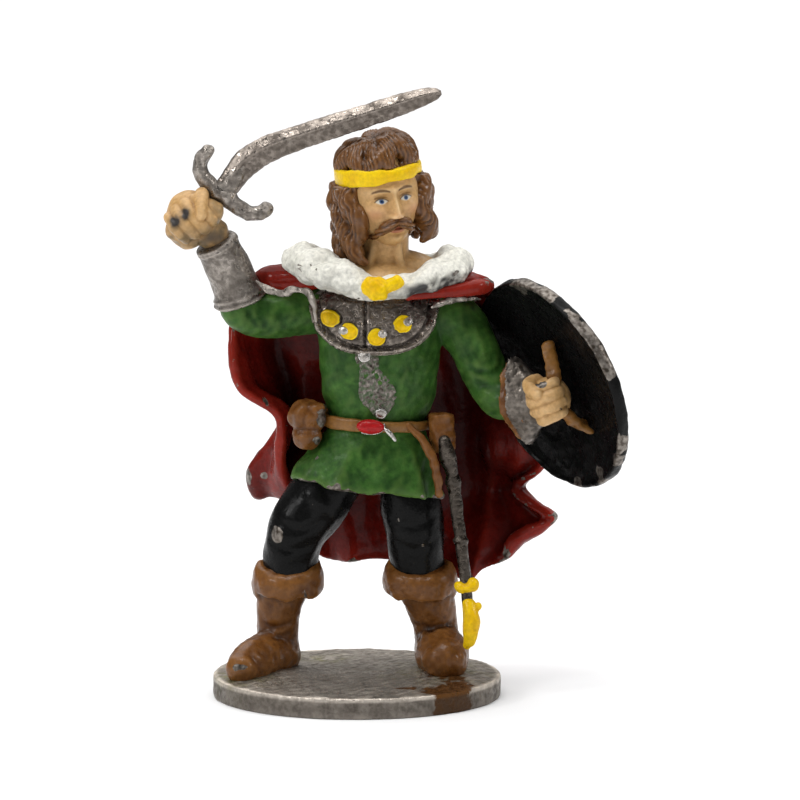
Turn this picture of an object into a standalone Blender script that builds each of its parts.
"""A painted tabletop warrior in cast metal, about 28 mm from sole to eye, on a round base.

The frame is in metres, +Z up, with the origin in the middle of the base's underside.
The figure faces -Y. Its own right side, with the raised sword, is at -X, and its shield at +X.
Every sculpted element is a solid of its own, and neighbours stand CLEARANCE apart.
Lengths below are millimetres, and MM takes them to metres.
"""

import math

import bmesh
import bpy
import numpy as np
from mathutils import Matrix, Vector

MM = 0.001

# ---- Driving dimensions, in millimetres
BASE_RADIUS = 8.25
BASE_HEIGHT = 1.2
BASE_EDGE = 0.12
CLEARANCE = 0.1
CAPE_THICKNESS = 0.7
SHIELD_RADIUS = 6.4
SHIELD_THICKNESS = 0.7
SHIELD_DEPTH = 0.9
BLADE_THICKNESS = 0.5
STUD_RADIUS = 0.5
PLATE_THICKNESS = 0.45

# ---- The pose: where the joints of the sculpted body lie, in millimetres
RIGHT_ELBOW = Vector((-6.9, 1.1, 22.4))
RIGHT_WRIST = Vector((-8.35, 0.1, 26.7))
RIGHT_FIST = Vector((-9.25, -0.3, 28.0))
LEFT_ELBOW = Vector((8.0, 0.5, 17.2))
LEFT_FIST = Vector((10.9, -2.4, 17.6))
HEAD_CENTRE = Vector((1.75, 0.75, 28.7))
GUARD_CENTRE = Vector((-7.7, -0.05, 29.0))

# The shield's own axes: its hollow face looks back along SHIELD_NORMAL, at the body.
SHIELD_CENTRE = Vector((11.13, -0.9, 18.25))
SHIELD_NORMAL = Vector((-0.729, -0.609, -0.314)).normalized()
SHIELD_LENGTHWAYS = Vector((0.489, -0.142, -0.861)).normalized()

# ---- Finishes: colour, roughness and metallic value
FINISHES = {
    "bare_metal": ((0.17, 0.15, 0.13), 0.4, 0.9),
    "green_paint": ((0.04, 0.085, 0.02), 0.5, 0.0),
    "red_paint": ((0.13, 0.012, 0.008), 0.3, 0.0),
    "black_paint": ((0.006, 0.006, 0.006), 0.35, 0.0),
    "brown_paint": ((0.11, 0.045, 0.01), 0.4, 0.0),
    "white_paint": ((0.75, 0.73, 0.65), 0.6, 0.0),
    "yellow_paint": ((0.6, 0.35, 0.004), 0.4, 0.0),
    "skin_paint": ((0.47, 0.27, 0.12), 0.5, 0.0),
    "hair_paint": ((0.09, 0.04, 0.01), 0.45, 0.0),
    "ruby_paint": ((0.3, 0.01, 0.01), 0.3, 0.0),
}


def clear_scene():
    """Removes what the startup scene holds."""
    for thing in list(bpy.data.objects):
        bpy.data.objects.remove(thing)


def new_collection(name):
    """A collection under the scene's own."""
    collection = bpy.data.collections.new(name)
    bpy.context.scene.collection.children.link(collection)
    return collection


def new_material(name):
    """A Principled material of the named finish."""
    colour, roughness, metallic = FINISHES[name]
    material = bpy.data.materials.new(name)
    material.use_nodes = True
    shader = material.node_tree.nodes["Principled BSDF"]
    shader.inputs["Base Color"].default_value = (*colour, 1.0)
    shader.inputs["Roughness"].default_value = roughness
    shader.inputs["Metallic"].default_value = metallic
    return material


clear_scene()
FIGURE = new_collection("warrior_miniature")
CUTTERS = new_collection("cutters")
MATERIALS = {name: new_material(name) for name in FINISHES}


# ---- Making pieces


def add_piece(name, data, finish):
    """An object in the figure's collection, with its finish."""
    piece = bpy.data.objects.new(name, data)
    FIGURE.objects.link(piece)
    data.materials.clear()
    data.materials.append(MATERIALS[finish])
    return piece


def mesh_from(name, shape):
    """A mesh datablock from a bmesh, with its normals facing out."""
    bmesh.ops.recalc_face_normals(shape, faces=shape.faces)
    data = bpy.data.meshes.new(name)
    shape.to_mesh(data)
    shape.free()
    return data


def evaluated_mesh(piece):
    """The mesh that a piece's curve or modifiers give, welded."""
    bpy.context.view_layer.update()
    graph = bpy.context.evaluated_depsgraph_get()
    data = bpy.data.meshes.new_from_object(piece.evaluated_get(graph))
    shape = bmesh.new()
    shape.from_mesh(data)
    bmesh.ops.remove_doubles(shape, verts=shape.verts, dist=0.0005 * MM)
    shape.to_mesh(data)
    shape.free()
    return data


def rounded_ends(stations):
    """Adds two shrinking stations past each end of a limb, so that it ends in a dome."""
    made = list(stations)
    for end, inner, front in ((0, 1, True), (-1, -2, False)):
        tip = Vector(stations[end][:3])
        outward = (tip - Vector(stations[inner][:3])).normalized()
        radius = stations[end][3]
        extra = [
            (*(tip + outward * radius * 0.5), radius * 0.86),
            (*(tip + outward * radius * 0.85), radius * 0.5),
        ]
        made = extra[::-1] + made if front else made + extra
    return made


def limb(name, stations, finish, rounded=True, sides=12, steps=2, closed=False):
    """A tapering tube: a curve with bevel through stations of (x, y, z, radius)."""
    curve = bpy.data.curves.new(name, "CURVE")
    curve.dimensions = "3D"
    curve.bevel_depth = MM
    curve.bevel_resolution = (sides - 4) // 2
    curve.use_fill_caps = True
    curve.resolution_u = steps
    spline = curve.splines.new("BEZIER")
    if rounded and not closed:
        stations = rounded_ends(stations)
    spline.bezier_points.add(len(stations) - 1)
    for point, (x, y, z, radius) in zip(spline.bezier_points, stations):
        point.co = Vector((x, y, z)) * MM
        point.radius = radius
        point.handle_left_type = "AUTO"
        point.handle_right_type = "AUTO"
    spline.use_cyclic_u = closed
    guide = add_piece(name + "_guide", curve, finish)
    data = evaluated_mesh(guide)
    bpy.data.objects.remove(guide)
    return add_piece(name, data, finish)


def ball(name, centre, radii, finish, turn=(0, 0, 0), segments=16, rings=10):
    """An ellipsoid from Blender's sphere, turned by degrees about X, Y and Z."""
    shape = bmesh.new()
    bmesh.ops.create_uvsphere(shape, u_segments=segments, v_segments=rings, radius=1)
    bmesh.ops.scale(shape, vec=Vector(radii) * MM, verts=shape.verts)
    piece = add_piece(name, mesh_from(name, shape), finish)
    piece.location = Vector(centre) * MM
    piece.rotation_euler = [math.radians(angle) for angle in turn]
    return piece


def loft(name, rings, finish, sides=20):
    """A solid through level or leaning ellipses, lowest first.

    A ring is (x, y, z, half width, half depth, lean), and lean tips it about Y in degrees.
    """
    shape = bmesh.new()
    loops = []
    for x, y, z, wide, deep, lean in rings:
        tip = Matrix.Rotation(math.radians(lean), 3, "Y")
        loop = []
        for step in range(sides):
            angle = 2 * math.pi * step / sides
            spoke = tip @ Vector((wide * math.cos(angle), deep * math.sin(angle), 0))
            loop.append(shape.verts.new((Vector((x, y, z)) + spoke) * MM))
        loops.append(loop)
    for low, high in zip(loops, loops[1:]):
        for step in range(sides):
            after = (step + 1) % sides
            shape.faces.new((low[step], low[after], high[after], high[step]))
    shape.faces.new(loops[0][::-1])
    shape.faces.new(loops[-1])
    return add_piece(name, mesh_from(name, shape), finish)


def plate(name, outline, thickness, finish, centre_y):
    """A flat outline of (x, z) points in the X-Z plane, thickened along Y."""
    curve = bpy.data.curves.new(name, "CURVE")
    curve.dimensions = "2D"
    curve.fill_mode = "BOTH"
    curve.extrude = thickness / 2 * MM
    spline = curve.splines.new("POLY")
    spline.points.add(len(outline) - 1)
    for point, (x, z) in zip(spline.points, outline):
        point.co = (x * MM, z * MM, 0, 1)
    spline.use_cyclic_u = True
    guide = add_piece(name + "_guide", curve, finish)
    guide.rotation_euler.x = math.pi / 2
    guide.location.y = centre_y * MM
    data = evaluated_mesh(guide)
    data.transform(guide.matrix_world)
    bpy.data.objects.remove(guide)
    return add_piece(name, data, finish)


def turned(name, profile, finish, centre, axis, steps=32):
    """A profile of (radius, height) points spun round its axis by a Screw modifier."""
    data = bpy.data.meshes.new(name)
    rows = [(radius * MM, 0, height * MM) for radius, height in profile]
    links = [(row, row + 1) for row in range(len(rows) - 1)]
    data.from_pydata(rows, links, [])
    piece = add_piece(name, data, finish)
    spin = piece.modifiers.new("spin", "SCREW")
    spin.steps = steps
    spin.render_steps = steps
    spin.use_merge_vertices = True
    spin.merge_threshold = 0.00001
    piece.location = Vector(centre) * MM
    piece.rotation_euler = Vector(axis).to_track_quat("Z", "Y").to_euler()
    return piece


# ---- Fitting pieces to each other


def grown(piece, by=CLEARANCE):
    """A hidden copy of a piece with every face moved out by the same distance, to cut with."""
    data = evaluated_mesh(piece)
    shape = bmesh.new()
    shape.from_mesh(data)
    shape.normal_update()
    moves = [v.normal * v.calc_shell_factor() * by * MM for v in shape.verts]
    for vertex, move in zip(shape.verts, moves):
        vertex.co += move
    shape.to_mesh(data)
    shape.free()
    cutter = bpy.data.objects.new(piece.name + "_cutter", data)
    cutter.matrix_world = piece.matrix_world
    cutter.hide_render = True
    cutter.display_type = "WIRE"
    CUTTERS.objects.link(cutter)
    return cutter


def drop_shavings(shape):
    """Keeps only the largest connected body of a bmesh."""
    left = set(shape.faces)
    bodies = []
    while left:
        body = set()
        edge_of_growth = [left.pop()]
        while edge_of_growth:
            face = edge_of_growth.pop()
            body.add(face)
            for edge in face.edges:
                for other in edge.link_faces:
                    if other in left:
                        left.discard(other)
                        edge_of_growth.append(other)
        bodies.append(body)
    bodies.sort(key=lambda body: sum(face.calc_area() for face in body))
    for body in bodies[:-1]:
        bmesh.ops.delete(shape, geom=list(body), context="FACES")


def apply_modifiers(piece):
    """Makes a piece's modifiers part of its mesh, and drops what a cut left loose."""
    data = evaluated_mesh(piece)
    shape = bmesh.new()
    shape.from_mesh(data)
    bmesh.ops.dissolve_degenerate(shape, dist=0.002 * MM, edges=shape.edges)
    drop_shavings(shape)
    shape.to_mesh(data)
    shape.free()
    piece.modifiers.clear()
    piece.data = data
    return piece


def combine(piece, operation, others):
    """Runs one Boolean operation of a piece with each of the others."""
    for other in others:
        step = piece.modifiers.new(operation.lower(), "BOOLEAN")
        step.operation = operation
        step.object = other
    return apply_modifiers(piece)


def carve(piece, *neighbours):
    """Cuts each neighbour out of a piece, and leaves CLEARANCE round it."""
    cutters = [grown(neighbour) for neighbour in neighbours]
    combine(piece, "DIFFERENCE", cutters)
    for cutter in cutters:
        bpy.data.objects.remove(cutter)
    return piece


def join(piece, *others):
    """Joins the others to a piece, as one solid."""
    combine(piece, "UNION", others)
    for other in others:
        bpy.data.objects.remove(other)
    return piece


# ---- The base and the legs


def make_base():
    """A plain round disc with broken edges."""
    shape = bmesh.new()
    bmesh.ops.create_cone(
        shape,
        cap_ends=True,
        segments=48,
        radius1=BASE_RADIUS * MM,
        radius2=BASE_RADIUS * MM,
        depth=BASE_HEIGHT * MM,
    )
    base = add_piece("base", mesh_from("base", shape), "bare_metal")
    base.location.z = BASE_HEIGHT / 2 * MM
    edge = base.modifiers.new("broken_edge", "BEVEL")
    edge.width = BASE_EDGE * MM
    return base


def make_boot(side, shaft, foot, base):
    """A soft boot: an upright shaft joined to a foot, cut flat where it stands on the base."""
    boot = limb(side + "_boot", foot, "brown_paint", sides=14)
    upright = limb(side + "_boot_shaft", shaft, "brown_paint", rounded=False, sides=14)
    join(boot, upright)
    return carve(boot, base)


base = make_base()
right_boot = make_boot(
    "right",
    [(-4.35, 1.0, 5.3, 1.3), (-4.5, 1.1, 4.0, 1.2), (-4.45, 1.3, 2.6, 1.15)],
    [
        (-4.3, 1.9, 2.1, 1.15),
        (-4.8, 0.6, 2.5, 1.3),
        (-5.7, -0.9, 2.1, 1.25),
        (-6.35, -2.0, 1.85, 1.0),
    ],
    base,
)
left_boot = make_boot(
    "left",
    [(3.95, 1.3, 5.3, 1.35), (4.4, 1.7, 4.2, 1.25), (4.6, 1.9, 2.7, 1.2)],
    [
        (4.55, 2.7, 2.1, 1.15),
        (4.7, 1.5, 2.4, 1.4),
        (4.9, -0.1, 2.2, 1.5),
        (5.0, -1.0, 1.9, 1.2),
    ],
    base,
)

right_leg = limb(
    "right_leg",
    [
        (-0.95, 1.15, 12.7, 1.5),
        (-2.1, 1.0, 11.1, 1.8),
        (-3.45, 0.7, 9.4, 1.65),
        (-3.75, 0.8, 7.9, 1.55),
        (-3.8, 0.9, 6.9, 1.4),
    ],
    "black_paint",
)
left_leg = limb(
    "left_leg",
    [
        (2.5, 1.2, 12.6, 1.5),
        (3.0, 1.1, 11.1, 1.8),
        (3.35, 1.0, 9.3, 1.75),
        (3.55, 1.2, 7.7, 1.55),
        (3.6, 1.4, 6.8, 1.4),
    ],
    "black_paint",
)

right_cuff = loft(
    "right_boot_cuff",
    [
        (-4.1, 1.0, 5.15, 1.45, 1.45, 4),
        (-4.05, 1.0, 5.7, 1.8, 1.75, 4),
        (-3.95, 0.95, 6.8, 2.0, 1.9, 4),
        (-3.9, 0.95, 7.5, 1.75, 1.7, 4),
    ],
    "brown_paint",
)
carve(right_cuff, right_boot, right_leg)
left_cuff = loft(
    "left_boot_cuff",
    [
        (3.85, 1.35, 5.15, 1.6, 1.5, -3),
        (3.75, 1.35, 5.7, 1.95, 1.8, -3),
        (3.6, 1.3, 6.7, 2.05, 1.9, -3),
        (3.6, 1.3, 7.3, 1.8, 1.7, -3),
    ],
    "brown_paint",
)
carve(left_cuff, left_boot, left_leg)

# ---- The tunic, the belt and what hangs on it

skirt = loft(
    "tunic_skirt",
    [
        (0.45, 1.2, 12.15, 4.2, 2.9, 9),
        (0.6, 1.2, 13.0, 3.9, 2.75, 6),
        (0.9, 1.2, 14.1, 3.4, 2.45, 3),
        (1.15, 1.2, 15.2, 3.1, 2.2, 2),
    ],
    "green_paint",
    sides=24,
)
carve(skirt, right_leg, left_leg)
torso = loft(
    "tunic_body",
    [
        (1.15, 1.2, 15.32, 2.8, 1.95, 0),
        (1.15, 1.2, 16.2, 2.9, 2.0, 0),
        (1.25, 1.2, 17.4, 3.25, 2.3, 0),
        (1.3, 1.2, 19.6, 3.35, 2.5, 0),
        (1.35, 1.25, 21.8, 3.55, 2.45, 0),
        (1.4, 1.3, 23.2, 3.1, 2.1, 0),
        (1.45, 1.3, 24.1, 1.9, 1.6, 0),
    ],
    "green_paint",
    sides=24,
)
belt = loft(
    "belt",
    [(1.15, 1.2, 15.35, 3.3, 2.4, 2), (1.15, 1.2, 16.0, 3.35, 2.45, 2)],
    "brown_paint",
    sides=24,
)
carve(belt, torso, skirt)

jewel = ball("belt_jewel", (0.75, -1.25, 15.75), (0.78, 0.5, 0.4), "ruby_paint", segments=12, rings=8)
carve(jewel, belt, torso, skirt)

pouch = ball("hip_pouch", (-2.7, 0.2, 16.0), (1.05, 1.1, 1.15), "brown_paint", segments=14)
pouch_foot = ball("pouch_foot", (-2.85, 0.2, 14.85), (0.75, 0.85, 0.8), "brown_paint", segments=12)
join(pouch, pouch_foot)
carve(pouch, belt, torso, skirt)

frog = limb(
    "scabbard_frog",
    [(4.95, -0.3, 15.6, 0.85), (4.95, -0.4, 14.6, 0.85)],
    "brown_paint",
    rounded=False,
)
carve(frog, belt, torso, skirt)
scabbard = limb(
    "scabbard",
    [
        (5.2, -0.55, 14.2, 0.5),
        (5.6, -0.75, 12.0, 0.45),
        (6.05, -1.0, 9.5, 0.42),
        (6.3, -1.25, 6.9, 0.4),
    ],
    "bare_metal",
    rounded=False,
    sides=10,
)
carve(scabbard, frog, skirt, left_leg, left_cuff)
band = limb(
    "scabbard_band",
    [(6.3, -1.3, 6.75, 0.62), (6.35, -1.4, 6.15, 0.6)],
    "yellow_paint",
    rounded=False,
    sides=10,
)
carve(band, left_cuff, scabbard)
chape = limb(
    "scabbard_chape",
    [
        (6.4, -1.45, 6.0, 0.38),
        (6.5, -1.65, 5.0, 0.52),
        (6.5, -1.8, 4.2, 0.5),
        (6.45, -1.9, 3.5, 0.42),
    ],
    "yellow_paint",
    sides=10,
)
carve(chape, band, left_boot, left_cuff)
hanger = limb(
    "hanger_strap",
    [
        (3.55, -0.95, 15.1, 0.28),
        (4.1, -1.0, 14.0, 0.28),
        (4.45, -1.0, 12.9, 0.28),
        (4.55, -0.95, 11.9, 0.28),
    ],
    "brown_paint",
    sides=8,
)
carve(hanger, belt, skirt, frog, scabbard, left_leg)

# ---- The arms

right_sleeve = limb(
    "right_sleeve",
    [
        (-0.9, 1.4, 22.9, 1.45),
        (-3.2, 1.35, 22.35, 1.3),
        (-5.2, 1.25, 21.95, 1.2),
        (-6.55, 1.1, 22.15, 1.25),
        (-7.0, 0.95, 23.0, 1.2),
    ],
    "green_paint",
)
bracer = limb(
    "right_bracer",
    [
        (-6.95, 0.95, 23.15, 1.52),
        (-7.15, 0.8, 23.7, 1.5),
        (-7.75, 0.5, 25.2, 1.33),
        (-8.2, 0.2, 26.3, 1.36),
    ],
    "bare_metal",
    rounded=False,
    sides=16,
)
carve(right_sleeve, torso, bracer)

left_sleeve = limb(
    "left_sleeve",
    [
        (4.6, 1.3, 22.5, 1.45),
        (5.9, 1.15, 21.1, 1.5),
        (6.9, 1.0, 19.3, 1.4),
        (7.8, 0.7, 17.6, 1.25),
        (8.5, 0.0, 17.1, 1.15),
        (9.1, -0.6, 17.25, 1.0),
    ],
    "green_paint",
)
carve(left_sleeve, torso)
forearm = (LEFT_FIST - LEFT_ELBOW).normalized()
gauntlet = limb(
    "left_gauntlet",
    [
        (*(LEFT_ELBOW + forearm * 1.7), 1.8),
        (*(LEFT_ELBOW + forearm * 2.3), 1.4),
        (*(LEFT_ELBOW + forearm * 3.1), 1.05),
    ],
    "bare_metal",
    rounded=False,
    sides=16,
)
carve(gauntlet, left_sleeve)

# ---- The sword and the hand round it

FINGER_PITCH = 0.72


def make_fist(name, centre, along, outward, palm):
    """A palm ball with four fingers curled over it, side by side along the thing it holds."""
    across = along.cross(outward).normalized()
    hand = ball(name, centre, palm, "skin_paint", segments=16, rings=10)
    fingers = []
    for number in range(4):
        middle = centre + along * FINGER_PITCH * (number - 1.5)
        stations = [
            (*(middle + across * 1.05 + outward * 0.35), 0.42),
            (*(middle + across * 0.6 + outward * 1.15), 0.44),
            (*(middle - across * 0.6 + outward * 1.2), 0.44),
            (*(middle - across * 1.1 + outward * 0.45), 0.4),
        ]
        fingers.append(limb(f"finger_{number}", stations, "skin_paint", sides=8))
    return join(hand, *fingers)


sword_axis = (GUARD_CENTRE - RIGHT_FIST).normalized()
grip = limb(
    "sword_grip",
    [
        (*(RIGHT_FIST - sword_axis * 2.05), 0.5),
        (*(RIGHT_FIST - sword_axis * 1.2), 0.4),
        (*(RIGHT_FIST + sword_axis * 1.35), 0.4),
    ],
    "bare_metal",
    sides=10,
)
guard = limb(
    "sword_guard",
    [
        (-8.65, -0.1, 31.2, 0.38),
        (-9.0, -0.1, 30.6, 0.42),
        (-8.8, -0.1, 29.9, 0.45),
        (*GUARD_CENTRE, 0.62),
        (-6.75, -0.1, 28.15, 0.45),
        (-5.9, -0.1, 27.85, 0.4),
        (-5.2, -0.1, 28.1, 0.42),
    ],
    "bare_metal",
    sides=10,
)
carve(grip, guard)
right_hand = make_fist(
    "right_hand", RIGHT_FIST, sword_axis, Vector((-0.35, -0.85, 0.35)).normalized(), (1.35, 1.2, 1.35)
)
wrist = limb("wrist", [(*RIGHT_WRIST, 1.0), (*RIGHT_WRIST.lerp(RIGHT_FIST, 0.5), 1.05)], "skin_paint")
join(right_hand, wrist)
carve(right_hand, bracer, grip, guard)

# The blade's middle line in X and Z, and its half width: it leans up from the hilt, then straightens.
BLADE_LINE = [
    (-7.35, 29.6, 0.5),
    (-6.5, 30.6, 0.68),
    (-4.9, 31.65, 0.75),
    (-2.1, 32.6, 0.7),
    (0.8, 33.45, 0.66),
    (3.05, 34.2, 0.55),
    (4.85, 34.85, 0.06),
]


def blade_outline():
    """Both edges of the blade: the middle line moved square to itself by the half width."""
    line, half_width = np.split(np.array(BLADE_LINE), [2], axis=1)
    along = np.gradient(line, axis=0)
    along /= np.linalg.norm(along, axis=1, keepdims=True)
    across = np.stack([-along[:, 1], along[:, 0]], axis=1) * half_width
    return [tuple(p) for p in np.vstack([line + across, (line - across)[::-1]])]


blade = plate("sword_blade", blade_outline(), BLADE_THICKNESS, "bare_metal", 0.1)
carve(blade, guard)

# ---- The shield and the hand on it

rim = [(SHIELD_RADIUS * share, -SHIELD_DEPTH * (1 - share**2)) for share in np.linspace(0, 1, 6)]
back = [(radius, height - SHIELD_THICKNESS) for radius, height in reversed(rim)]
shield = turned("shield", rim + back, "black_paint", SHIELD_CENTRE, SHIELD_NORMAL)
apply_modifiers(shield)

# The grip bows away from the shield: (distance along the shield, height over the fist's middle)
GRIP_BOW = [(-2.9, -1.7), (-2.1, -0.35), (0, 0), (2.1, -0.35), (2.9, -1.7)]
shield_grip = limb(
    "shield_grip",
    [
        (*(LEFT_FIST + SHIELD_LENGTHWAYS * along + SHIELD_NORMAL * height), 0.4)
        for along, height in GRIP_BOW
    ],
    "brown_paint",
    sides=10,
)
carve(shield_grip, shield)
left_hand = make_fist("left_hand", LEFT_FIST, SHIELD_LENGTHWAYS, SHIELD_NORMAL, (1.3, 1.2, 1.35))
carve(left_hand, shield_grip, gauntlet, shield)
carve(gauntlet, shield)

# ---- The head, its hair and the collar

neck = limb("neck", [(1.5, 1.2, 23.9, 1.5), (1.65, 0.9, 26.3, 1.4)], "skin_paint", rounded=False)
head = ball("head", HEAD_CENTRE, (2.1, 2.2, 2.95), "skin_paint", turn=(0, -5, 20), segments=20, rings=14)
nose = limb("nose", [(2.1, -1.0, 29.2, 0.3), (2.35, -1.6, 28.35, 0.4)], "skin_paint", sides=8)
carve(neck, torso, head)
moustache = limb(
    "moustache",
    [
        (1.3, -1.25, 27.1, 0.3),
        (1.9, -1.5, 27.6, 0.36),
        (2.6, -1.5, 27.62, 0.36),
        (3.2, -1.05, 27.2, 0.3),
    ],
    "hair_paint",
    sides=8,
)
carve(moustache, head, nose)

BAND_PROFILE = [(2.45, 0.5), (2.95, 0.5), (2.95, -0.5), (2.45, -0.5), (2.45, 0.5)]
headband = turned("headband", BAND_PROFILE, "yellow_paint", (1.45, 1.05, 30.3), (0.12, 0.03, 1.0))
apply_modifiers(headband)
carve(headband, head)
hair = loft(
    "hair",
    [
        (1.4, 1.6, 25.5, 2.0, 1.6, 0),
        (1.4, 1.5, 26.4, 2.9, 2.2, 0),
        (1.4, 1.3, 28.2, 3.0, 2.6, 0),
        (1.4, 1.15, 30.2, 2.7, 2.6, 0),
        (1.4, 1.15, 31.4, 2.35, 2.3, 0),
        (1.4, 1.15, 32.2, 1.2, 1.2, 0),
    ],
    "hair_paint",
)
face_window = ball("face_window", (2.0, -1.8, 27.6), (2.05, 2.5, 3.1), "hair_paint")
carve(hair, head, face_window, headband, neck, torso, moustache, blade)
bpy.data.objects.remove(face_window)

collar = limb(
    "fur_collar",
    [
        (1.5, -1.7, 23.95, 0.8),
        (-0.7, -1.2, 24.5, 0.95),
        (-2.6, 0.2, 24.95, 1.0),
        (-2.0, 2.1, 25.2, 0.95),
        (1.4, 3.1, 25.3, 0.95),
        (4.7, 2.2, 25.1, 0.95),
        (5.5, 0.3, 24.7, 1.0),
        (3.7, -1.1, 24.3, 0.95),
    ],
    "white_paint",
    closed=True,
)
carve(collar, torso, neck, hair, head)
join(head, nose)
brooch = ball("collar_brooch", (1.45, -2.45, 24.05), (1.1, 0.6, 0.65), "yellow_paint", segments=14, rings=8)
carve(brooch, collar, torso, neck)

# ---- The armour on the chest

half_turn = np.radians(np.linspace(180, 360, 13))
curve_of_hem = [(0.95 + 3.35 * math.cos(a), 22.6 + 2.6 * math.sin(a)) for a in half_turn]
breastplate = plate("breastplate", [(-2.4, 23.2), *curve_of_hem, (4.3, 23.2)], 4.0, "bare_metal", -0.9)
thick_torso = grown(torso, CLEARANCE + PLATE_THICKNESS)
combine(breastplate, "INTERSECT", [thick_torso])
carve(breastplate, torso, collar, brooch, right_sleeve, left_sleeve)
PLACKET_OUTLINE = [(0.1, 20.0), (1.2, 19.95), (1.75, 17.4), (1.6, 16.4), (0.9, 16.4), (0.65, 17.6)]
placket = plate("front_placket", PLACKET_OUTLINE, 4.0, "bare_metal", -0.9)
combine(placket, "INTERSECT", [thick_torso])
carve(placket, torso, breastplate, belt, jewel)
bpy.data.objects.remove(thick_torso)

STUD_PLACES = {
    "chest_stud_1": (-1.5, -1.1, 21.95),
    "chest_stud_2": (-0.5, -1.55, 21.3),
    "chest_stud_3": (1.1, -1.75, 20.95),
    "chest_stud_4": (2.65, -1.5, 21.75),
    "placket_stud": (0.55, -1.75, 19.65),
}
STUD_RADII = (STUD_RADIUS, STUD_RADIUS * 0.8, STUD_RADIUS)
for name, place in STUD_PLACES.items():
    finish = "bare_metal" if name == "placket_stud" else "yellow_paint"
    stud = ball(name, place, STUD_RADII, finish, segments=12, rings=8)
    carve(stud, breastplate, placket, torso)

# ---- The cape

# Columns run from the free edge on the sword side, round the back, to the one on the shield side.
CAPE_ROWS = [
    [
        (-5.0, 1.9, 24.2), (-4.3, 2.6, 24.4), (-2.6, 3.2, 24.5),
        (-0.6, 3.8, 24.6), (1.4, 4.0, 24.6), (3.4, 3.8, 24.5),
        (5.2, 3.2, 24.3), (6.6, 2.7, 23.8), (7.3, 2.1, 23.4),
    ],
    [
        (-7.0, 2.9, 22.0), (-6.0, 3.6, 22.2), (-3.8, 4.1, 22.4),
        (-1.3, 4.3, 22.6), (1.3, 4.4, 22.6), (3.9, 4.3, 22.5),
        (6.2, 4.0, 22.3), (7.9, 3.6, 22.0), (8.8, 3.3, 21.6),
    ],
    [
        (-7.3, 1.7, 19.8), (-7.0, 3.4, 19.6), (-4.6, 4.9, 19.5),
        (-1.5, 4.6, 19.6), (1.4, 4.5, 19.6), (4.2, 4.7, 19.5),
        (6.6, 5.0, 19.3), (8.4, 5.1, 19.0), (9.6, 4.9, 18.6),
    ],
    [
        (-6.0, 1.3, 17.2), (-6.3, 3.0, 17.0), (-4.6, 5.0, 16.9),
        (-1.8, 5.1, 16.9), (1.3, 4.9, 17.0), (4.4, 5.3, 16.9),
        (7.2, 5.7, 16.6), (9.2, 5.5, 16.2), (10.2, 5.1, 15.6),
    ],
    [
        (-4.7, 1.6, 14.6), (-5.4, 3.3, 14.4), (-4.6, 5.3, 14.2),
        (-2.0, 5.7, 14.2), (1.2, 5.4, 14.2), (4.6, 5.8, 14.0),
        (7.7, 5.9, 13.6), (9.8, 5.1, 13.2), (10.7, 4.0, 12.7),
    ],
    [
        (-4.3, 2.4, 12.4), (-6.0, 3.8, 12.0), (-5.2, 5.8, 11.6),
        (-2.2, 6.3, 11.4), (1.0, 5.9, 11.2), (4.6, 6.2, 11.2),
        (7.6, 6.2, 10.9), (9.2, 5.4, 11.0), (9.6, 4.4, 11.2),
    ],
    [
        (-4.3, 3.4, 10.9), (-6.0, 4.6, 10.7), (-4.8, 6.2, 9.9),
        (-2.2, 6.7, 9.3), (1.0, 6.3, 9.0), (4.4, 6.5, 8.8),
        (7.4, 6.3, 8.5), (9.9, 4.9, 8.8), (11.5, 3.3, 9.7),
    ],
    [
        (-4.0, 4.0, 10.4), (-5.2, 5.2, 10.1), (-4.2, 6.6, 9.0),
        (-2.0, 7.0, 7.8), (0.9, 6.5, 7.1), (4.0, 6.6, 6.7),
        (6.8, 5.9, 5.8), (8.4, 4.9, 6.5), (9.8, 3.8, 8.1),
    ],
]


def make_cape():
    """A coarse cage of the cloth's middle, smoothed, then thickened to both sides."""
    columns = len(CAPE_ROWS[0])
    points = [Vector(point) * MM for row in CAPE_ROWS for point in row]
    faces = []
    for row in range(len(CAPE_ROWS) - 1):
        for column in range(columns - 1):
            corner = row * columns + column
            faces.append((corner, corner + 1, corner + columns + 1, corner + columns))
    data = bpy.data.meshes.new("cape")
    data.from_pydata(points, [], faces)
    cape = add_piece("cape", data, "red_paint")
    smooth = cape.modifiers.new("smooth", "SUBSURF")
    smooth.levels = 1
    smooth.render_levels = 1
    wall = cape.modifiers.new("wall", "SOLIDIFY")
    wall.thickness = CAPE_THICKNESS * MM
    wall.offset = 0
    return apply_modifiers(cape)


right_yoke = limb(
    "cape_right_shoulder",
    [(-2.0, 0.9, 24.1, 0.75), (-3.6, 1.1, 24.0, 0.75), (-5.0, 1.3, 23.95, 0.6)],
    "red_paint",
    sides=10,
)
left_yoke = limb(
    "cape_left_shoulder",
    [(3.6, 0.2, 23.9, 0.7), (5.4, 0.7, 23.7, 0.7), (6.9, 1.1, 23.3, 0.55)],
    "red_paint",
    sides=10,
)
carve(right_yoke, torso, right_sleeve, collar, breastplate)
carve(left_yoke, torso, left_sleeve, collar, breastplate)
cape = make_cape()
carve(cape, torso, skirt, belt, collar, hair, right_yoke, left_yoke)
carve(cape, right_sleeve, left_sleeve, right_leg, left_leg, pouch, gauntlet, shield)
